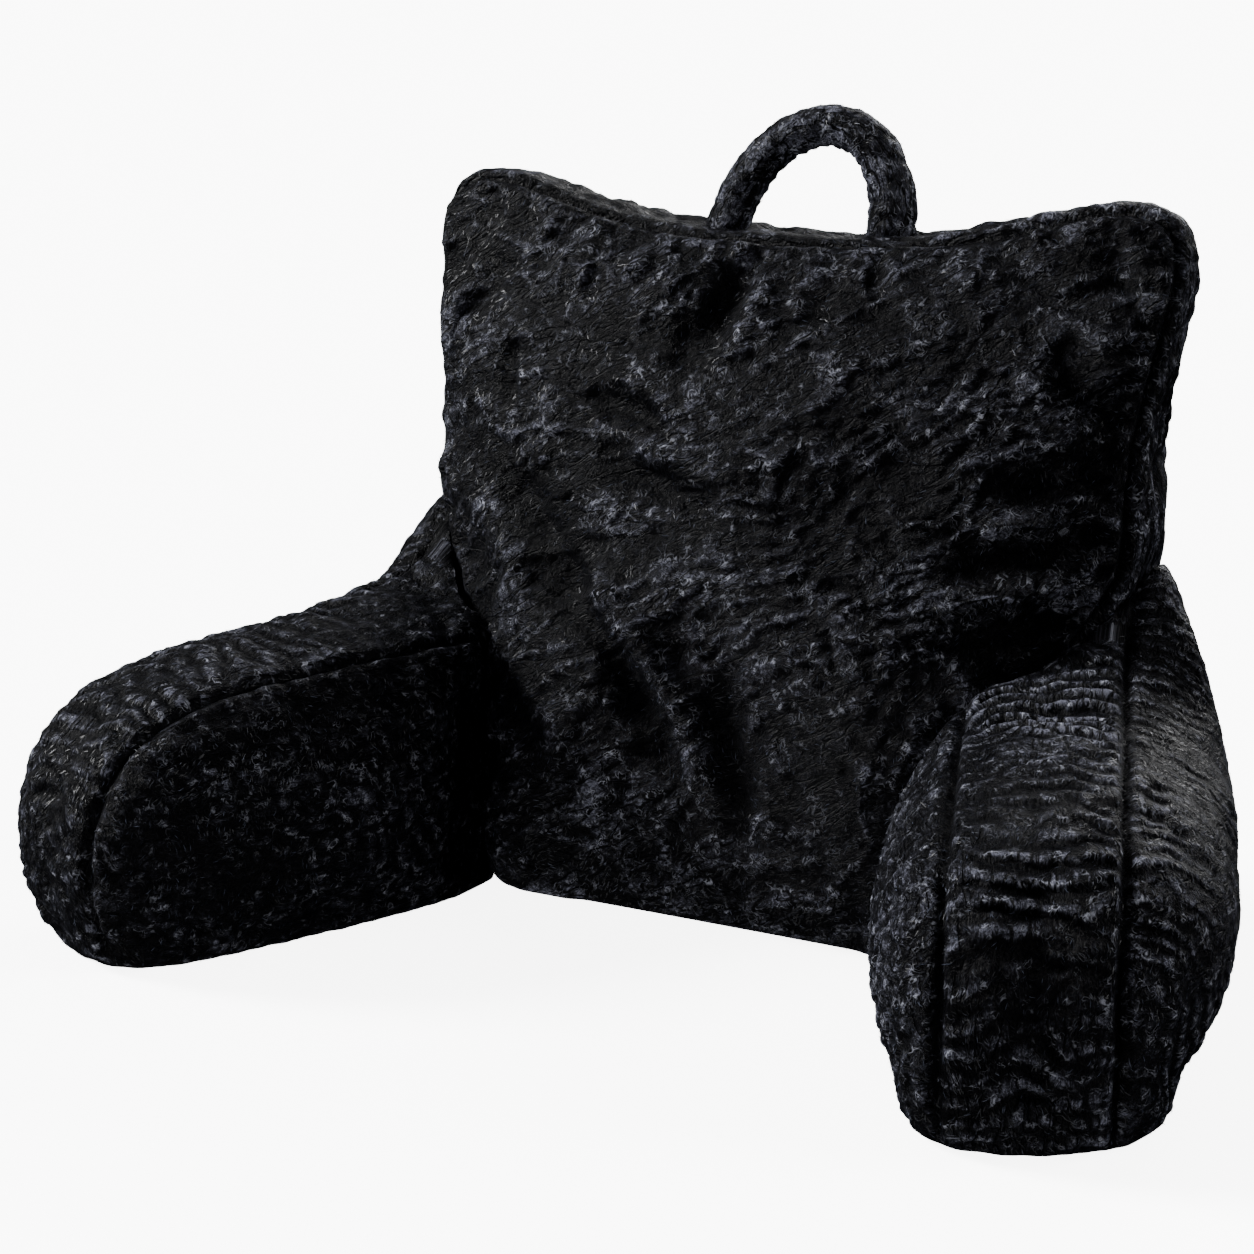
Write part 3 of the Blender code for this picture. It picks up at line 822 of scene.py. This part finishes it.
def arm_cover(side, settings):
    """An arm: side panels either side of a band over the top and down the nose, all with ripples."""
    word = "left" if side < 0 else "right"
    seams = [arm_seam(0, side), arm_seam(1, side)]
    item, places, near = remeshed("arm_" + word, "arm_cover_" + word, seams, settings)
    graph = bpy.context.evaluated_depsgraph_get()
    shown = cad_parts["back_cushion"].evaluated_get(graph).to_mesh()
    sewn = gap_to(places, read(shown.vertices))
    held = (near < HELD_BESIDE) | (places[:, 2] < HELD_BELOW) | (sewn < 0.012)
    put(item.data, "loose", "FLOAT", eased(sewn, 0.010, 0.030))
    blown_up(item, held, settings.arm_swell)
    divided(item, 2)
    mesh = item.data
    loose = read(mesh.attributes["loose"].data, "value", 1)[:, 0]
    places = read(mesh.vertices)
    along, across = arm_places(places, side)
    fields = [line_field(places, seam) for seam in seams]
    gaps = [beside(offset, normals_of(item.data)) for offset, way, length in fields]
    inner = across < 0.0
    outer = across > BAND_WIDTH
    band = ~inner & ~outer
    flat = np.stack([along, places[:, 2], across], axis=1)
    length = fields[0][2]
    around = np.stack([length, across, np.zeros(len(places))], axis=1)
    lay = np.where(band[:, None], around, flat) + np.where(band, 2.3, np.where(outer, 4.1, 0.0))[:, None]
    lay[:, 1] *= side
    warp = np.stack([rough_noise(lay * WARP, n, 2) for n in (11, 12, 13)], axis=1)
    size = np.where(band[:, None], np.array((0.011, 0.022, 0.016)), np.array((0.016, 0.012, 0.016)))
    big, shade = tufts((lay + warp * 0.006) / size, 121)
    small, fleck = tufts((lay + warp * 0.003) / (size * 0.5), 141)
    ripples = settings.ripple_pitch
    bend = 0.012 * ((across / BAND_WIDTH - 0.5) * 2.0) ** 2
    wander = 0.66 * rough_noise(lay * np.array((20.0, 38.0, 20.0)), 151, 3)
    over = wave((length - bend) / ripples + wander)
    down = wave((0.86 * along - 0.50 * places[:, 2]) / (ripples * 0.78) + wander * 1.3)
    plain = rough_noise(lay * 20.0, 157, 2)
    ripple = np.where(band, over, down)
    # Ripples are full on top of the arm and give way to tufts on the nose.
    top = eased(places[:, 2], 0.09, 0.17)
    height = np.where(band, 0.15 + 0.95 * top, np.where(outer, 0.40, 0.20 + 0.12 * side))
    height *= settings.ripple_height
    height *= np.clip(0.66 + 0.75 * plain, 0.08, 1.3)
    height *= 0.6 if side < 0 else 1.0
    patch = rough_noise(lay * PATCHES, 155, 2)
    clear = eased(np.minimum(*gaps), *CLEAR_OF_SEAM)
    soft = np.where(inner, 0.6, np.where(band, 0.8 - 0.5 * top, 0.25)) * clear
    lift = settings.tuft_height * soft * ((big - 0.35) + 0.42 * (small - 0.35))
    lift += height * (ripple - 0.4) * clear
    lift += 0.0014 * rough_noise(lay * SWELLS, 161, 2)
    lift *= loose
    for (offset, way, run), gap, seed in zip(fields, gaps, (171, 172)):
        lift += seam_shape(gap * np.where(band, 1.0, -1.0), run, 0.8, settings, seed) * loose
    # Tone: random per tuft cell and patch, with painted light added on the tops of the small tufts.
    shade = 0.46 + 0.16 * (shade + fleck - 1.0) + 0.22 * small + 0.14 * patch
    # Painted light and shade: paler on ripple crests, darker in their troughs.
    shade += np.where(inner, 0.25, 0.62) * (ripple - 0.45) * np.clip(0.8 + 0.7 * plain, 0.1, 1.4)
    settle(item, places, lift, lay, np.minimum(*gaps), shade)
    mesh.attributes.remove(mesh.attributes["loose"])
    finish_piece(item, "arm_" + word, settings)
    way = np.where(band[:, None], fields[0][1], np.array((0.35 * side, -0.2, -0.9)))
    strands(item, "arm_pile_" + word, settings, way, 7 if side < 0 else 8)
    return item


def handle_cover(settings):
    """The stuffed handle: a ring carried along its middle line, with wrinkles where it bends and tufts.

    At each place of the line the ring stands across it, in the plane of a side vector that is kept level. The
    ends are closed by one point each.
    """
    line = smooth_line(HANDLE_LINE, 30)
    thickness = line[:, 3] * settings.handle_radius
    line = line[:, :3] + np.array((0.0, SEAT_Y, 0.0))
    way = np.gradient(line, axis=0)
    way /= np.linalg.norm(way, axis=1)[:, None]
    rear = np.array((0.0, 1.0, 0.0)) - way * way[:, 1:2]
    rear /= np.linalg.norm(rear, axis=1)[:, None]
    side = np.cross(way, rear)
    run = np.concatenate([[0.0], np.cumsum(np.linalg.norm(np.diff(line, axis=0), axis=1))])
    count = 64
    angle = np.linspace(0.0, 2.0 * np.pi, count, endpoint=False)
    out = np.cos(angle)[None, :, None] * rear[:, None, :] + np.sin(angle)[None, :, None] * side[:, None, :]
    length = np.repeat(run[:, None], count, axis=1)
    lay = np.stack([length, np.cos(angle) * thickness[:, None], np.sin(angle) * thickness[:, None]], axis=2)
    flat = lay.reshape(-1, 3)
    big, shade = tufts(flat / np.array((0.010, 0.012, 0.012)), 221)
    small, fleck = tufts(flat / np.array((0.0055, 0.006, 0.006)), 241)
    # Wrinkles gather on the inside of the bend.
    inside = np.clip(-(out @ np.array((0.0, 0.0, 1.0))), 0.0, 1.0).ravel()
    wrinkle = wave(flat[:, 0] / 0.011 + 0.4 * value_noise(flat * 60.0, 251)) * (0.35 + inside)
    lift = 0.0006 * (big - 0.35) + 0.0004 * (small - 0.35) + 0.0007 * (wrinkle - 0.3)
    radius = thickness[:, None] + lift.reshape(len(line), count)
    places = (line[:, None, :] + out * radius[:, :, None]).reshape(-1, 3)
    places = np.vstack([places, line[:1], line[-1:]])
    i, j = np.meshgrid(np.arange(len(line) - 1), np.arange(count), indexing="ij")
    k = (j + 1) % count
    here, beyond = i * count, (i + 1) * count
    quads = np.stack([here + j, beyond + j, beyond + k, here + k], axis=2).reshape(-1, 4)
    ring = np.arange(count)
    last = (len(line) - 1) * count
    foot = np.stack([np.full(count, len(places) - 2), ring, np.roll(ring, -1)], axis=1)
    head = np.stack([np.full(count, len(places) - 1), last + np.roll(ring, -1), last + ring], axis=1)
    mesh = bpy.data.meshes.new("handle_cover")
    mesh.from_pydata(places.tolist(), [], quads.tolist() + foot.tolist() + head.tolist())
    item = as_object("handle_cover", mesh)
    shape = bmesh.new()
    shape.from_mesh(mesh)
    bmesh.ops.recalc_face_normals(shape, faces=shape.faces)
    shape.to_mesh(mesh)
    shape.free()
    ends = np.zeros((2, 3))
    put(mesh, "lay", "FLOAT_VECTOR", np.vstack([flat, ends]))
    put(mesh, "seam", "FLOAT", np.full(len(places), 0.02))
    put(mesh, "tone_and_painted_light", "FLOAT", np.append(np.clip(0.3 + 0.5 * shade + 0.4 * fleck, 0.0, 1.2), [0.5, 0.5]))
    finish_piece(item, "carry_handle", settings)
    ways = np.vstack([np.repeat(way, count, axis=0), way[:1], way[-1:]])
    strands(item, "handle_pile", settings, ways, 9)
    return item


class PILLOW_OT_back(bpy.types.Operator):
    """Makes the back cushion's cover and its pile"""

    bl_idname = "pillow.back"
    bl_label = "Back Cushion"

    def execute(self, context):
        back_cover(context.scene.pillow)
        return {"FINISHED"}


class PILLOW_OT_arms(bpy.types.Operator):
    """Makes the covers of both arms and their pile"""

    bl_idname = "pillow.arms"
    bl_label = "Arms"

    def execute(self, context):
        for side in (-1.0, 1.0):
            arm_cover(side, context.scene.pillow)
        return {"FINISHED"}


class PILLOW_OT_handle(bpy.types.Operator):
    """Makes the stuffed handle and its pile"""

    bl_idname = "pillow.handle"
    bl_label = "Carry Handle"

    def execute(self, context):
        handle_cover(context.scene.pillow)
        return {"FINISHED"}


class PILLOW_OT_stage(bpy.types.Operator):
    """Makes the pale floor, the studio light and the camera"""

    bl_idname = "pillow.stage"
    bl_label = "Stage"

    def execute(self, context):
        scene = context.scene
        mesh = bpy.data.meshes.new("floor")
        reach = 30.0
        corners = [(-reach, -reach, 0.0), (reach, -reach, 0.0), (reach, reach, 0.0), (-reach, reach, 0.0)]
        mesh.from_pydata(corners, [], [(0, 1, 2, 3)])
        floor = as_object("floor", mesh)
        paper = bpy.data.materials.new("white_paper")
        paper.use_nodes = True
        shader = paper.node_tree.nodes["Principled BSDF"]
        shader.inputs["Base Color"].default_value = linear("#f6f6f6")
        shader.inputs["Roughness"].default_value = 0.9
        shader.inputs["Specular IOR Level"].default_value = 0.1
        shader.inputs["Emission Color"].default_value = linear("#ffffff")
        shader.inputs["Emission Strength"].default_value = 6.5
        mesh.materials.append(paper)
        world = bpy.data.worlds.new("studio")
        world.use_nodes = True
        world.node_tree.nodes["Background"].inputs["Color"].default_value = linear("#ffffff")
        world.node_tree.nodes["Background"].inputs["Strength"].default_value = 12.0
        scene.world = world
        # Black cloth shows its shape only if the white room around it doesn't light it from every side.
        world.cycles_visibility.diffuse = world.cycles_visibility.glossy = False
        floor.visible_diffuse = floor.visible_glossy = floor.visible_shadow = False
        # The way to each lamp, its strength and how wide it looks in degrees. Bounce stands for the light that
        # the white floor throws back from in front.
        for name, towards, strength, spread in (
            ("side_left", (-0.86, -0.16, 0.54), 12.5, 18.0),
            ("side_right", (0.90, 0.42, 0.52), 5.0, 30.0),
            ("behind", (-0.05, 0.90, 0.45), 3.5, 30.0),
            ("bounce", (-0.20, -0.75, -0.65), 4.5, 80.0),
            ("overhead", (0.0, 0.0, 1.0), 1.5, 110.0),
        ):
            lamp = bpy.data.lights.new(name, "SUN")
            lamp.energy = strength
            lamp.angle = math.radians(spread)
            item = bpy.data.objects.new(name, lamp)
            item.rotation_euler = Vector(towards).to_track_quat("Z", "Y").to_euler()
            scene.collection.objects.link(item)
        camera = bpy.data.cameras.new("view")
        camera.lens = 91.87
        camera.sensor_width = 36.0
        item = bpy.data.objects.new("view", camera)
        item.location = (0.951, -1.6975, 0.680)
        item.rotation_euler = (math.radians(90.0 - 13.56), 0.0, math.radians(30.27))
        scene.collection.objects.link(item)
        scene.camera = item
        return {"FINISHED"}


class PILLOW_PT_panel(bpy.types.Panel):
    """Lists the pillow's settings and pieces"""

    bl_idname = "PILLOW_PT_panel"
    bl_label = "Reading Pillow"
    bl_space_type = "VIEW_3D"
    bl_region_type = "UI"
    bl_category = "Pillow"

    def draw(self, context):
        for name in Settings.__annotations__:
            self.layout.prop(context.scene.pillow, name)
        for operator in OPERATORS:
            self.layout.operator(operator.bl_idname)


OPERATORS = (PILLOW_OT_stage, PILLOW_OT_back, PILLOW_OT_arms, PILLOW_OT_handle)
CLASSES = (Settings, *OPERATORS, PILLOW_PT_panel)


def register():
    """Adds the classes and the scene's settings."""
    for kind in CLASSES:
        bpy.utils.register_class(kind)
    bpy.types.Scene.pillow = bpy.props.PointerProperty(type=Settings)


def unregister():
    """Takes them away again."""
    del bpy.types.Scene.pillow
    for kind in reversed(CLASSES):
        bpy.utils.unregister_class(kind)


def main():
    """Makes every piece and the stage."""
    register()
    bpy.ops.pillow.stage()
    bpy.ops.pillow.back()
    bpy.ops.pillow.arms()
    bpy.ops.pillow.handle()
    bpy.context.view_layer.update()


if __name__ == "__main__":
    main()
